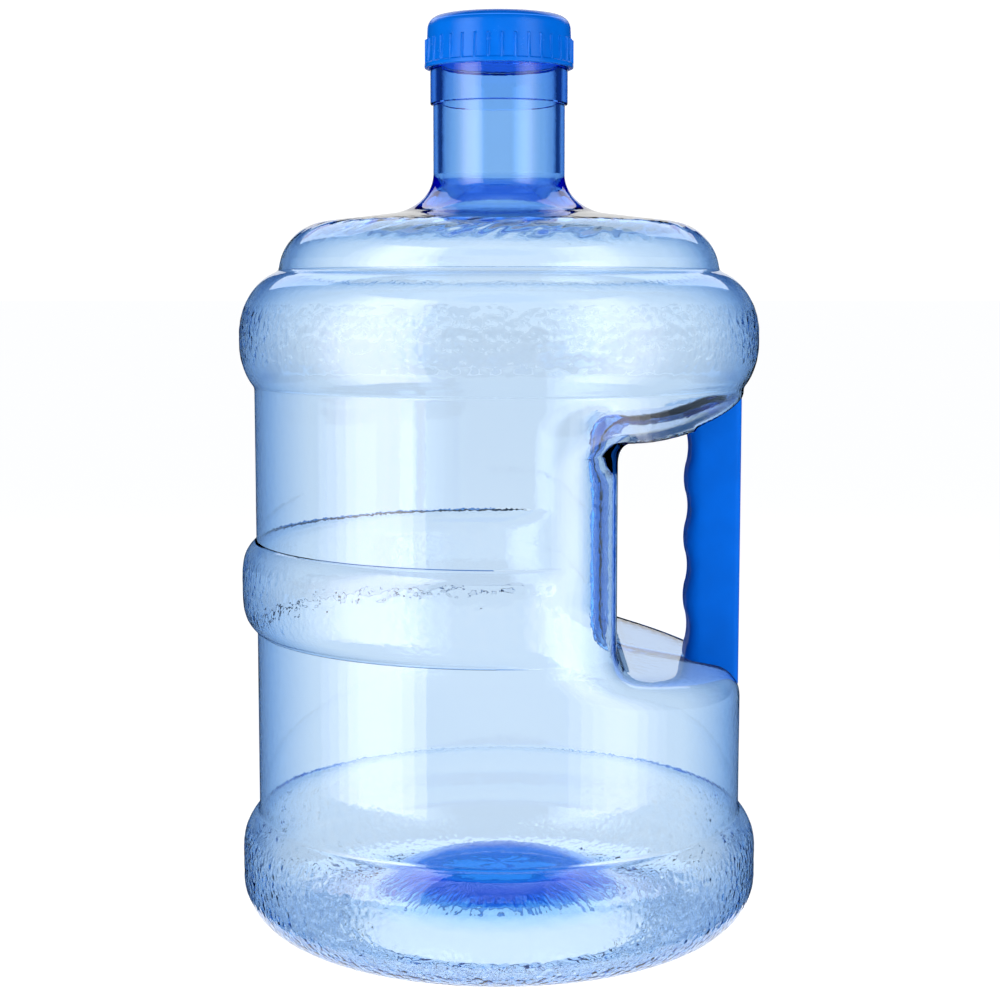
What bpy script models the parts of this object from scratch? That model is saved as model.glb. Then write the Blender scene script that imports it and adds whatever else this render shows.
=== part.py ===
"""Ten-litre water jug: a blown bottle, a moulded carrying handle, a screw cap and its sealing liner.

Frame: metres, +Z up, origin on the jug's axis in the plane that it stands on, handle at +X.
"""
import math

import bmesh
import bpy
from mathutils import Matrix, Vector

MM = 0.001

# Bottle outline
BODY_RADIUS = 102.5 * MM
BAND_RADIUS = 109.4 * MM
BASE_ROUNDING = 22.0 * MM
BAND_TOP = 34.3 * MM
BAND_SHOULDER = 20.6 * MM
BAND_SHOULDER_ANGLE = math.radians(48.0)
CONTACT_RADIUS = BAND_RADIUS - BASE_ROUNDING
PUNT_RADIUS = 68.0 * MM
PUNT_HEIGHT = 19.0 * MM
PUNT_POWER = 4.0
PUNT_SHARES = (0.35, 0.62, 0.8, 0.92, 1.0)
RING_BOTTOM = 127.4 * MM
RING_TOP = 164.9 * MM
RING_DEPTH = 6.0 * MM
RING_FADE_START = math.radians(72.0)
RING_FADE_END = math.radians(92.0)
RING_SHARES = (0.0, 0.08, 0.22, 0.5, 0.78, 0.92, 1.0)
BULGE_BOTTOM = 229.4 * MM
BULGE_CENTRE_RADIUS = 86.0 * MM
BULGE_LOW = 247.0 * MM
BULGE_HIGH = 251.0 * MM
BULGE_WIDTH = 22.5 * MM
BULGE_RISE = 27.0 * MM
BULGE_FOOT = 0.6 * MM
BULGE_END_ANGLE = math.radians(74.5)
SHOULDER_CENTRE = (70.0 * MM, 276.0 * MM)
SHOULDER_SIZE = (22.0 * MM, 21.5 * MM)
SHOULDER_START_ANGLE = math.radians(8.0)
SHOULDER_END_ANGLE = math.radians(82.4)
FLARE_CENTRE = (48.5 * MM, 317.0 * MM)
FLARE_SIZE = (21.05 * MM, 16.5 * MM)
FLARE_START_ANGLE = math.radians(260.6)
NECK_RADIUS = 27.45 * MM
COLLAR_RADIUS = 28.6 * MM
COLLAR_BOTTOM = 345.2 * MM
COLLAR_TOP = 360.6 * MM
THREAD_ROOT = 27.0 * MM
MOUTH_TOP = 376.5 * MM
NECK_EDGE = 0.6 * MM
BORE_RADIUS = 23.8 * MM
WALL = 1.3 * MM
BASE_WALL = 6.0 * MM
BASE_WALL_REACH = 60.0 * MM
FLARE_WALL = 4.2 * MM
COLUMNS = 40
LOWER_WALL_ROWS = tuple(height * MM for height in (75.0, 97.0, 101.5, 106.0, 109.5, 113.0, 121.0))
UPPER_WALL_ROWS = tuple(height * MM for height in (186.0, 204.0, 209.5, 212.0, 214.5, 218.0, 222.0))

# Hand pocket
POCKET_PLANE = 46.4 * MM
POCKET_CORNER = 37.0 * MM
POCKET_BLEND = 9.4 * MM
CEILING_HEIGHT = 211.3 * MM
CEILING_RISE = 14.0 * MM
CEILING_POWER = 2.2
FLOOR_HEIGHT = 119.3 * MM
FLOOR_SLOPE = 0.185
FLOOR_ROUNDING = 10.5 * MM

# Handle
GRIP_INNER = 79.8 * MM
GRIP_OUTER = 101.9 * MM
GRIP_HALF_WIDTH = 11.5 * MM
GRIP_INNER_CORNER = 5.0 * MM
GRIP_OUTER_CORNER = 2.0 * MM
FINGER_PITCH = 23.0 * MM
FINGER_DEPTH = 0.8 * MM
FINGER_CREST = 142.0 * MM
GRIP_LEVELS = 24
TONGUE_HALF_WIDTH = 2.0 * MM
TONGUE_DEPTH = 2.8 * MM
TONGUE_PROUD = 0.8 * MM
TONGUE_START = 52.0 * MM
TONGUE_END = 89.0 * MM
SOCKET_WALL = 1.6 * MM
SOCKET_SUNK = 0.6 * MM
FIT_GAP = 0.4 * MM

# Closure
THREAD_STARTS = 2
THREAD_LEAD = 8.0 * MM
THREAD_TURNS = 1.1
THREAD_STEPS = 32
NECK_THREAD_CREST = 28.3 * MM
NECK_THREAD_BOTTOM = 364.0 * MM
CAP_THREAD_CREST = 27.5 * MM
CAP_THREAD_DROP = 1.85 * MM
THREAD_ROOT_WIDTH = 1.5 * MM
THREAD_CREST_WIDTH = 0.8 * MM
THREAD_BITE = 0.5 * MM
CAP_BOTTOM = 360.3 * MM
CAP_TOP = 381.3 * MM
CAP_RADIUS = 30.3 * MM
CAP_LIP_RADIUS = 30.9 * MM
CAP_LIP_HEIGHT = 1.6 * MM
CAP_BORE = 28.75 * MM
CAP_LIP_BORE = 29.2 * MM
CAP_CEILING = 378.9 * MM
CAP_CORNER = 4.6 * MM
RIB_COUNT = 34
RIB_HEIGHT = 10.2 * MM
RIB_DEPTH = 0.5 * MM
RIB_HALF_WIDTH = 0.7 * MM
LINER_RADIUS = 28.0 * MM
LINER_BOTTOM = 376.8 * MM
LINER_TOP = 378.6 * MM


def clear_scene():
    for thing in list(bpy.data.objects):
        bpy.data.objects.remove(thing, do_unlink=True)


def plastic(name, colour, roughness, alpha=1.0):
    material = bpy.data.materials.new(name)
    material.use_nodes = True
    shader = material.node_tree.nodes["Principled BSDF"]
    shader.inputs["Base Color"].default_value = (*colour, 1.0)
    shader.inputs["Roughness"].default_value = roughness
    shader.inputs["Metallic"].default_value = 0.0
    shader.inputs["Alpha"].default_value = alpha
    material.diffuse_color = (*colour, alpha)
    return material


def object_from_bmesh(name, bm, material=None, guide=False):
    bmesh.ops.recalc_face_normals(bm, faces=bm.faces)
    mesh = bpy.data.meshes.new(name)
    bm.to_mesh(mesh)
    bm.free()
    mesh.shade_smooth()
    mesh.set_sharp_from_angle(angle=math.radians(35.0))
    thing = bpy.data.objects.new(name, mesh)
    bpy.context.scene.collection.objects.link(thing)
    if material:
        mesh.materials.append(material)
    if guide:
        thing.hide_render = True
        thing.display_type = "WIRE"
    return thing


def combine(target, tool, operation):
    """Join a tool's shape to the target, or cut it out."""
    boolean = target.modifiers.new(tool.name, "BOOLEAN")
    boolean.object = tool
    boolean.operation = operation
    boolean.solver = "EXACT"


def ellipse(centre, size, start, end, steps):
    """Points on an ellipse from one angle to another, both ends included."""
    points = []
    for step in range(steps + 1):
        angle = start + (end - start) * step / steps
        points.append((centre[0] + size[0] * math.cos(angle), centre[1] + size[1] * math.sin(angle)))
    return points


def grid_faces(bm, rows, closed=True):
    """Skin neighbouring rows of vertices, which all have the same length."""
    for lower, upper in zip(rows, rows[1:]):
        count = len(lower)
        for i in range(count if closed else count - 1):
            j = (i + 1) % count
            bm.faces.new((lower[i], lower[j], upper[j], upper[i]))


def loop_rows(bm, rows):
    return [[bm.verts.new(point) for point in row] for row in rows]


def revolve(bm, section, columns):
    """A solid of revolution from a closed (radius, height) section; radius 0 gives a pole."""
    rings = []
    for radius, height in section:
        if radius == 0.0:
            rings.append([bm.verts.new((0.0, 0.0, height))])
            continue
        ring = []
        for i in range(columns):
            angle = 2.0 * math.pi * i / columns
            ring.append(bm.verts.new((radius * math.cos(angle), radius * math.sin(angle), height)))
        rings.append(ring)
    pairs = list(zip(rings, rings[1:]))
    if len(rings[0]) > 1:
        pairs.append((rings[-1], rings[0]))
    for lower, upper in pairs:
        for i in range(columns):
            j = (i + 1) % columns
            if len(lower) == 1:
                bm.faces.new((lower[0], upper[j], upper[i]))
            elif len(upper) == 1:
                bm.faces.new((lower[i], lower[j], upper[0]))
            else:
                bm.faces.new((lower[i], lower[j], upper[j], upper[i]))


# ---------------------------------------------------------------- bottle

def ring_swell(height):
    """How far the middle ring stands out of the body, from 0 at its creases to 1."""
    place = (height - (RING_BOTTOM + RING_TOP) / 2.0) / ((RING_TOP - RING_BOTTOM) / 2.0)
    if abs(place) >= 1.0:
        return 0.0
    return (1.0 - abs(place) ** 3.5) ** 0.8


def ring_fade(angle):
    """The middle ring dies away towards the hand pocket."""
    place = (abs(angle) - RING_FADE_START) / (RING_FADE_END - RING_FADE_START)
    place = min(max(place, 0.0), 1.0)
    return place * place * (3.0 - 2.0 * place)


def ceiling(x):
    return CEILING_HEIGHT + CEILING_RISE * (max(x - POCKET_PLANE, 0.0)
                                            / (BODY_RADIUS - POCKET_PLANE)) ** CEILING_POWER


def floor(x, radius):
    """The pocket's floor slopes outwards and rounds down into the body."""
    reach = min(max(radius - (BODY_RADIUS - FLOOR_ROUNDING), 0.0), FLOOR_ROUNDING)
    drop = FLOOR_ROUNDING - math.sqrt(FLOOR_ROUNDING ** 2 - reach ** 2)
    return FLOOR_HEIGHT - FLOOR_SLOPE * (x - POCKET_PLANE) - drop


def blended_minimum(a, b, width):
    overlap = max(width - abs(a - b), 0.0) / width
    return min(a, b) - overlap * overlap * width / 4.0


def corner_centre():
    """Centre of the arc that rounds the pocket's upright wall into the body."""
    x = POCKET_PLANE - POCKET_CORNER
    return x, math.sqrt((BODY_RADIUS - POCKET_CORNER) ** 2 - x * x)


def depth_in_pocket(angle, radius, height):
    """Positive inside the hand pocket, negative in the bottle."""
    x = radius * math.cos(angle)
    y = abs(radius * math.sin(angle))
    centre_x, centre_y = corner_centre()
    if y < centre_y:
        wall = x - POCKET_PLANE
    else:
        wall = math.hypot(x - centre_x, y - centre_y) - POCKET_CORNER
    depth = blended_minimum(wall, ceiling(x) - height, POCKET_BLEND)
    return blended_minimum(depth, height - floor(x, radius), POCKET_BLEND)


def bottle_radius(angle, radius, height):
    """Radius of the outside at an angle from +X: the turned outline with the ring and the pocket."""
    if RING_BOTTOM < height < RING_TOP:
        radius = BODY_RADIUS + RING_DEPTH * ring_swell(height) * ring_fade(angle)
    centre_x, centre_y = corner_centre()
    in_reach = FLOOR_HEIGHT - 3.0 * FLOOR_ROUNDING < height < BULGE_BOTTOM
    if not in_reach or abs(angle) > math.atan2(centre_y, centre_x):
        return radius
    inner, outer = POCKET_PLANE / 2.0, radius
    if depth_in_pocket(angle, outer, height) <= 0.0:
        return radius
    for _ in range(24):
        middle = (inner + outer) / 2.0
        if depth_in_pocket(angle, middle, height) > 0.0:
            outer = middle
        else:
            inner = middle
    return outer


def upright(radius, heights):
    return [(radius, height) for height in heights]


def bottle_outline():
    """(radius, height) from the middle of the base, round the outside, up to the mouth."""
    outline = []
    for share in PUNT_SHARES:
        outline.append((PUNT_RADIUS * share, PUNT_HEIGHT * (1.0 - share ** PUNT_POWER)))
    base_centre = (CONTACT_RADIUS, BASE_ROUNDING)
    outline += ellipse(base_centre, (BASE_ROUNDING, BASE_ROUNDING), -math.pi / 2.0, 0.0, 4)
    band_centre = (BAND_RADIUS - BAND_SHOULDER, BAND_TOP)
    outline += ellipse(band_centre, (BAND_SHOULDER, BAND_SHOULDER), 0.0, BAND_SHOULDER_ANGLE, 3)
    outline += upright(BODY_RADIUS, LOWER_WALL_ROWS)
    ring_height = RING_TOP - RING_BOTTOM
    for share in RING_SHARES:
        outline.append((BODY_RADIUS, RING_BOTTOM + ring_height * share))
    outline += upright(BODY_RADIUS, UPPER_WALL_ROWS)
    outline.append((BODY_RADIUS, BULGE_BOTTOM))
    bulge_size = (BULGE_WIDTH, BULGE_RISE)
    low_start = math.asin((BULGE_BOTTOM + BULGE_FOOT - BULGE_LOW) / BULGE_RISE)
    outline += ellipse((BULGE_CENTRE_RADIUS, BULGE_LOW), bulge_size, low_start, 0.0, 2)
    outline += ellipse((BULGE_CENTRE_RADIUS, BULGE_HIGH), bulge_size, 0.0, BULGE_END_ANGLE, 4)
    outline += ellipse(SHOULDER_CENTRE, SHOULDER_SIZE, SHOULDER_START_ANGLE, SHOULDER_END_ANGLE, 3)
    outline += ellipse(FLARE_CENTRE, FLARE_SIZE, FLARE_START_ANGLE, math.pi, 3)
    outline += [(NECK_RADIUS, COLLAR_BOTTOM), (COLLAR_RADIUS, COLLAR_BOTTOM + NECK_EDGE)]
    outline += [(COLLAR_RADIUS, COLLAR_TOP), (THREAD_ROOT, COLLAR_TOP + NECK_EDGE)]
    outline += [(THREAD_ROOT, MOUTH_TOP - NECK_EDGE), (THREAD_ROOT - NECK_EDGE, MOUTH_TOP)]
    return outline


def wall_thickness(radius, height):
    """Thick in the middle of the base and where the neck grows out of the shoulder."""
    if height < PUNT_HEIGHT + WALL and radius < BASE_WALL_REACH:
        share = 1.0 - (radius / BASE_WALL_REACH) ** 2
        return WALL + (BASE_WALL - WALL) * share * share
    if height > SHOULDER_CENTRE[1]:
        share = min(max((SHOULDER_CENTRE[0] - radius) / (SHOULDER_CENTRE[0] - NECK_RADIUS), 0.0), 1.0)
        return WALL + (FLARE_WALL - WALL) * share * share
    return WALL


def outward(rows, i, j):
    """Normal of the outside at one grid point, from its neighbours."""
    below = rows[max(i - 1, 0)][j]
    above = rows[min(i + 1, len(rows) - 1)][j]
    before = rows[i][j - 1]
    after = rows[i][(j + 1) % len(rows[i])]
    return (after - before).cross(above - below).normalized()


def inside_rows(rows):
    """The inside follows the outside at the wall's thickness, and the neck has a straight bore."""
    inner = []
    for i, row in enumerate(rows):
        inner_row = []
        for j, point in enumerate(row):
            radius = math.hypot(point.x, point.y)
            moved = point - outward(rows, i, j) * wall_thickness(radius, point.z)
            reach = math.hypot(moved.x, moved.y)
            if point.z > FLARE_CENTRE[1] - 0.1 * MM:
                moved = Vector((point.x, point.y, 0.0)) * (BORE_RADIUS / radius)
                moved.z = point.z
            elif point.z > SHOULDER_CENTRE[1] and reach < BORE_RADIUS:
                moved.x *= BORE_RADIUS / reach
                moved.y *= BORE_RADIUS / reach
            inner_row.append(moved)
        inner.append(inner_row)
    return inner


def bottle_shell():
    """The blown shell: outside, straight rim at the mouth, and inside."""
    rows = []
    for radius, height in bottle_outline():
        row = []
        for i in range(COLUMNS):
            angle = 2.0 * math.pi * i / COLUMNS
            signed = (angle + math.pi) % (2.0 * math.pi) - math.pi
            reach = bottle_radius(signed, radius, height)
            row.append(Vector((reach * math.cos(angle), reach * math.sin(angle), height)))
        rows.append(row)
    inner = inside_rows(rows)
    bm = bmesh.new()
    outside = loop_rows(bm, rows)
    inside = loop_rows(bm, inner)
    grid_faces(bm, outside)
    grid_faces(bm, inside)
    grid_faces(bm, [outside[-1], inside[-1]])
    bottom = bm.verts.new((0.0, 0.0, PUNT_HEIGHT))
    top = bm.verts.new((0.0, 0.0, PUNT_HEIGHT + BASE_WALL))
    for i in range(COLUMNS):
        j = (i + 1) % COLUMNS
        bm.faces.new((outside[0][i], bottom, outside[0][j]))
        bm.faces.new((inside[0][i], inside[0][j], top))
    return bm


def prism(outline, half_width):
    """An outline in the XZ plane, extruded to both sides of it."""
    bm = bmesh.new()
    near = [bm.verts.new((x, -half_width, z)) for x, z in outline]
    far = [bm.verts.new((x, half_width, z)) for x, z in outline]
    bm.faces.new(near)
    bm.faces.new(list(reversed(far)))
    for i in range(len(outline)):
        j = (i + 1) % len(outline)
        bm.faces.new((near[i], near[j], far[j], far[i]))
    return bm


def tongue_outline(at_floor, grow, proud):
    """Side view of the tongue that runs along the pocket's floor or ceiling, grown all round."""
    surface, depth = [], []
    side = -1.0 if at_floor else 1.0
    for step in range(5):
        share = step / 4.0
        x = TONGUE_START - grow + (TONGUE_END - TONGUE_START + 2.0 * grow) * share
        level = floor(x, 0.0) if at_floor else ceiling(x)
        sunk = TONGUE_DEPTH * (0.3 + 0.7 * min(share * 1.6, 1.0)) + grow
        surface.append((x, level - side * proud))
        depth.append((x, level + side * sunk))
    return surface + list(reversed(depth))


def thread(root, crest, bottom, starts):
    """Helical ridges whose root bites into the wall, one for each start, with ends that run out."""
    bm = bmesh.new()
    inwards = crest < root
    base = root + THREAD_BITE if inwards else root - THREAD_BITE
    steps = round(THREAD_TURNS * THREAD_STEPS)
    for start in range(starts):
        rows = []
        for step in range(steps + 1):
            angle = 2.0 * math.pi * (step / THREAD_STEPS + start / starts)
            middle = bottom + THREAD_LEAD * step / THREAD_STEPS
            run_out = min(step, steps - step, 2) / 2.0
            peak = root + (crest - root) * (0.15 + 0.85 * run_out)
            row = []
            for radius, half in ((base, THREAD_ROOT_WIDTH), (peak, THREAD_CREST_WIDTH)):
                row.append((radius, middle - half / 2.0))
            for radius, half in ((peak, THREAD_CREST_WIDTH), (base, THREAD_ROOT_WIDTH)):
                row.append((radius, middle + half / 2.0))
            rows.append([Vector((r * math.cos(angle), r * math.sin(angle), z)) for r, z in row])
        loops = loop_rows(bm, rows)
        grid_faces(bm, loops)
        bm.faces.new(loops[0])
        bm.faces.new(list(reversed(loops[-1])))
    return bm


def make_bottle(material):
    bottle = object_from_bmesh("bottle_body", bottle_shell(), material)
    for place in ("floor", "ceiling"):
        at_floor = place == "floor"
        block = prism(tongue_outline(at_floor, FIT_GAP + SOCKET_WALL, -SOCKET_SUNK),
                      TONGUE_HALF_WIDTH + FIT_GAP + SOCKET_WALL)
        combine(bottle, object_from_bmesh(place + "_socket_block", block, guide=True), "UNION")
    ridges = thread(THREAD_ROOT, NECK_THREAD_CREST, NECK_THREAD_BOTTOM, THREAD_STARTS)
    combine(bottle, object_from_bmesh("neck_thread", ridges, guide=True), "UNION")
    for place in ("floor", "ceiling"):
        at_floor = place == "floor"
        slot = prism(tongue_outline(at_floor, FIT_GAP, TONGUE_PROUD + 2.0 * FIT_GAP),
                     TONGUE_HALF_WIDTH + FIT_GAP)
        combine(bottle, object_from_bmesh(place + "_socket_slot", slot, guide=True), "DIFFERENCE")
    return bottle


# ---------------------------------------------------------------- handle

def half_section(height):
    """Half the grip's plan view, from the finger side round to the middle of its outer face."""
    phase = 2.0 * math.pi * (height - FINGER_CREST) / FINGER_PITCH
    inner = GRIP_INNER - FINGER_DEPTH * math.cos(phase)
    edge = math.sqrt(GRIP_OUTER ** 2 - GRIP_HALF_WIDTH ** 2)
    inner_corner = (inner + GRIP_INNER_CORNER, GRIP_HALF_WIDTH - GRIP_INNER_CORNER)
    outer_corner = (edge - GRIP_OUTER_CORNER, GRIP_HALF_WIDTH - GRIP_OUTER_CORNER)
    points = [(inner, 0.0)]
    points += ellipse(inner_corner, (GRIP_INNER_CORNER,) * 2, math.pi, math.pi / 2.0, 3)
    side_start, side_end = inner_corner[0], outer_corner[0]
    for share in (0.3, 0.6, 0.85):
        points.append((side_start + (side_end - side_start) * share, GRIP_HALF_WIDTH))
    points += ellipse(outer_corner, (GRIP_OUTER_CORNER,) * 2, math.pi / 2.0, 0.0, 2)
    points.append((GRIP_OUTER, 0.0))
    return points


def end_level(x, y, share):
    """Height on the grip at a share of the way from the pocket's floor to its ceiling."""
    low = floor(x, math.hypot(x, y)) + FIT_GAP
    high = ceiling(x) - FIT_GAP
    return low + (high - low) * share


def close_end(bm, loop, half_count, share):
    """Close an end of the grip with strips that follow the floor or the ceiling."""
    last = half_count - 1
    middles = [loop[0], loop[0]]
    for corner in loop[2:last]:
        middles.append(bm.verts.new((corner.co.x, 0.0, end_level(corner.co.x, 0.0, share))))
    middles.append(loop[last])
    for side in (1, -1):
        edge = [loop[side * i] for i in range(last)] + [loop[last]]
        bm.faces.new((middles[0], edge[1], edge[2], middles[2]))
        for i in range(2, last - 1):
            bm.faces.new((middles[i], edge[i], edge[i + 1], middles[i + 1]))
        bm.faces.new((middles[last - 1], edge[last - 1], middles[last]))


def make_handle(material):
    bm = bmesh.new()
    rows = []
    for level in range(GRIP_LEVELS + 1):
        share = level / GRIP_LEVELS
        half = half_section(FLOOR_HEIGHT + (CEILING_HEIGHT - FLOOR_HEIGHT) * share)
        outline = half + [(x, -y) for x, y in reversed(half[1:-1])]
        rows.append([Vector((x, y, end_level(x, y, share))) for x, y in outline])
    loops = loop_rows(bm, rows)
    grid_faces(bm, loops)
    close_end(bm, loops[0], len(half), 0.0)
    close_end(bm, loops[-1], len(half), 1.0)
    handle = object_from_bmesh("carry_handle", bm, material)
    for place in ("floor", "ceiling"):
        tongue = prism(tongue_outline(place == "floor", 0.0, TONGUE_PROUD), TONGUE_HALF_WIDTH)
        combine(handle, object_from_bmesh(place + "_tongue", tongue, guide=True), "UNION")
    return handle


# ---------------------------------------------------------------- closure

def cap_ribs():
    """Grip ribs round the lower part of the skirt, leaning back into it at the top."""
    bm = bmesh.new()
    low = CAP_BOTTOM + CAP_LIP_HEIGHT / 2.0
    high = CAP_BOTTOM + CAP_LIP_HEIGHT + RIB_HEIGHT
    buried = CAP_RADIUS - 0.6 * MM
    proud = CAP_RADIUS + RIB_DEPTH
    for rib in range(RIB_COUNT):
        turn = Matrix.Rotation(2.0 * math.pi * (rib + 0.5) / RIB_COUNT, 4, "Z")
        corners = []
        for z, reach in ((low, proud), (high - 1.2 * MM, proud), (high, buried + 0.3 * MM)):
            for x, y in ((buried, -1.0), (reach, -0.55), (reach, 0.55), (buried, 1.0)):
                corners.append(turn @ Vector((x, y * RIB_HALF_WIDTH, z)))
        rows = loop_rows(bm, [corners[0:4], corners[4:8], corners[8:12]])
        grid_faces(bm, rows)
        bm.faces.new(list(reversed(rows[0])))
        bm.faces.new(rows[-1])
    return bm


def make_cap(material, axis):
    section = [(0.0, CAP_TOP)]
    section += ellipse((CAP_RADIUS - 0.5 * MM - CAP_CORNER, CAP_TOP - CAP_CORNER),
                       (CAP_CORNER, CAP_CORNER), math.pi / 2.0, 0.0, 4)
    section += [(CAP_RADIUS, CAP_BOTTOM + CAP_LIP_HEIGHT + RIB_HEIGHT)]
    section += [(CAP_RADIUS, CAP_BOTTOM + CAP_LIP_HEIGHT + 0.3 * MM)]
    section += [(CAP_LIP_RADIUS, CAP_BOTTOM + CAP_LIP_HEIGHT), (CAP_LIP_RADIUS, CAP_BOTTOM)]
    section += [(CAP_LIP_BORE, CAP_BOTTOM), (CAP_LIP_BORE, CAP_BOTTOM + 1.2 * MM)]
    section += [(CAP_BORE, CAP_BOTTOM + 1.6 * MM), (CAP_BORE, CAP_CEILING), (0.0, CAP_CEILING)]
    bm = bmesh.new()
    revolve(bm, section, COLUMNS)
    cap = object_from_bmesh("screw_cap", bm, material)
    combine(cap, object_from_bmesh("cap_rib_guide", cap_ribs(), guide=True), "UNION")
    ridges = thread(CAP_BORE, CAP_THREAD_CREST, NECK_THREAD_BOTTOM - CAP_THREAD_DROP, THREAD_STARTS)
    combine(cap, object_from_bmesh("cap_thread", ridges, guide=True), "UNION")
    cap.parent = axis
    return cap


def make_liner(material, axis):
    bm = bmesh.new()
    section = [(0.0, LINER_TOP), (LINER_RADIUS, LINER_TOP), (LINER_RADIUS, LINER_BOTTOM), (0.0, LINER_BOTTOM)]
    revolve(bm, section, COLUMNS)
    liner = object_from_bmesh("seal_liner", bm, material)
    liner.parent = axis
    return liner


def main():
    clear_scene()
    axis = bpy.data.objects.new("cap_axis", None)
    bpy.context.scene.collection.objects.link(axis)
    make_bottle(plastic("tinted_bottle", (0.42, 0.68, 1.0), 0.06, alpha=0.35))
    make_handle(plastic("handle_blue", (0.0, 0.10, 0.66), 0.38))
    make_cap(plastic("cap_blue", (0.0, 0.16, 0.80), 0.34), axis)
    make_liner(plastic("liner_white", (0.82, 0.84, 0.86), 0.6), axis)


main()
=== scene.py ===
import math

import bpy
import numpy as np
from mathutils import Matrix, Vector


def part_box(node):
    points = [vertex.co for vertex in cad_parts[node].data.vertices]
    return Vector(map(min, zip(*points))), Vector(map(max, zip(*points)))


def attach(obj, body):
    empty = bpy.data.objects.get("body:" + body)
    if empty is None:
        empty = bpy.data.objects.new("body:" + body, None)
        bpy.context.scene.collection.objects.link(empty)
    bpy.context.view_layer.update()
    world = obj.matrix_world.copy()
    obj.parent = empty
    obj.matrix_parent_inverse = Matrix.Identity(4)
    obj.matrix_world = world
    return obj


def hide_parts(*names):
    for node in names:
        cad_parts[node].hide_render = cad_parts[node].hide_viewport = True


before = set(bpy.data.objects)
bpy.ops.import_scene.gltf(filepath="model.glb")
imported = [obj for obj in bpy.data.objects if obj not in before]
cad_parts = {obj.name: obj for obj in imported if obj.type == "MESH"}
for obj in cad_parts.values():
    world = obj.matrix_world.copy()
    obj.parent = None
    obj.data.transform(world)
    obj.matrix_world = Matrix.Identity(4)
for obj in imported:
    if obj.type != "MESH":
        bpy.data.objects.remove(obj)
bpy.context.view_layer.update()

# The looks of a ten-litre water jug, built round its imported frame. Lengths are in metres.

MM = 0.001
TAU = 2.0 * math.pi

# ---------------------------------------------------------------- places, worked out from the frame

bottle_low, bottle_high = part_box("bottle_body")
handle_low, handle_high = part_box("carry_handle")
cap_low, cap_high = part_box("screw_cap")
liner_low, liner_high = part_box("seal_liner")

BAND_RADIUS = float(bottle_high[0])
MOUTH_TOP = float(bottle_high[2])
CAP_BOTTOM = float(cap_low[2])
CAP_TOP = float(cap_high[2])
CAP_LIP_RADIUS = float(cap_high[0])
GRIP_OUTER = float(handle_high[0])
GRIP_HALF_WIDTH = float(handle_high[1])
LINER_BOTTOM = float(liner_low[2])
LINER_TOP = float(liner_high[2])
LINER_RADIUS = float(liner_high[0])

# ---------------------------------------------------------------- the bottle's driving dimensions

COLUMNS = 560
WIDE_ROWS = 1.6 * MM
TEXTURE_ROWS = 0.9 * MM
POCKET_ROWS = 0.4 * MM
CREASE_ROWS = 0.3 * MM
CREASE_REACH = 5.0 * MM
EASED_ROWS = 0.5 * MM
EASING_PASSES = 30
BAND_EASING_PASSES = 8
CEILING_EXTRA = 1.5 * MM
CEILING_ROWS = 0.12 * MM
CEILING_FLAT = (206.0 * MM, 215.0 * MM)
POCKET_ENDS = ((98.0 * MM, 121.5 * MM), (208.0 * MM, 227.0 * MM))
BODY_RADIUS = 102.5 * MM
BASE_ROUNDING = 22.0 * MM
BAND_TOP = 34.3 * MM
BAND_SHOULDER = 20.6 * MM
BAND_SHOULDER_ANGLE = math.radians(48.0)
PUNT_RADIUS = 68.0 * MM
PUNT_HEIGHT = 19.0 * MM
PUNT_POWER = 4.0
RING_BOTTOM = 127.4 * MM
RING_TOP = 164.9 * MM
RING_DEPTH = 6.0 * MM
RING_FADE_START = math.radians(72.0)
RING_FADE_END = math.radians(92.0)
BULGE_BOTTOM = 229.4 * MM
BULGE_CENTRE_RADIUS = 86.0 * MM
BULGE_LOW = 247.0 * MM
BULGE_HIGH = 251.0 * MM
BULGE_SIZE = (22.5 * MM, 27.0 * MM)
SHOULDER_CENTRE = (70.0 * MM, 276.0 * MM)
SHOULDER_SIZE = (22.0 * MM, 21.5 * MM)
FLARE_CENTRE = (48.5 * MM, 317.0 * MM)
FLARE_SIZE = (21.05 * MM, 16.5 * MM)
NECK_RADIUS = 27.45 * MM
COLLAR_RADIUS = 28.6 * MM
COLLAR_BOTTOM = 345.2 * MM
COLLAR_TOP = 360.6 * MM
THREAD_ROOT = 27.0 * MM
BORE_RADIUS = 23.8 * MM
WALL = 1.15 * MM
BASE_WALL = 4.6 * MM
BASE_WALL_INNER = 28.0 * MM
BASE_WALL_REACH = 60.0 * MM
FLARE_WALL = 5.6 * MM
FLARE_INNER = 30.0 * MM
FLARE_REACH = 74.0 * MM

POCKET_PLANE = 46.4 * MM
POCKET_CORNER = 37.0 * MM
POCKET_BLEND = 9.4 * MM
SOFT_STEP = 0.5 * MM
SOFT_REACH = 16
SOFT_HEIGHTS = (185.0 * MM, 229.0 * MM)
SOFT_UP_TO = 8.0 * MM
HARD_FROM = 20.0 * MM
CEILING_HEIGHT = 211.3 * MM
CEILING_RISE = 14.0 * MM
CEILING_POWER = 2.2
FLOOR_HEIGHT = 119.3 * MM
FLOOR_SLOPE = 0.185
FLOOR_ROUNDING = 10.5 * MM

BEAD_DEPTH = 5.0 * MM
BEAD_THIN = 1.8 * MM
BEAD_KNOT = 3.0 * MM
BEAD_KNOT_REACH = 5.0 * MM
BEAD_HALF_WIDTH = 3.0 * MM

THREAD_LEAD = 8.0 * MM
THREAD_STARTS = 2
THREAD_TURNS = 1.1
NECK_THREAD_BOTTOM = 364.0 * MM
NECK_THREAD_DEPTH = 1.3 * MM
CAP_THREAD_DEPTH = 1.25 * MM
CAP_THREAD_DROP = 1.85 * MM


# ---------------------------------------------------------------- numbers and noise

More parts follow.
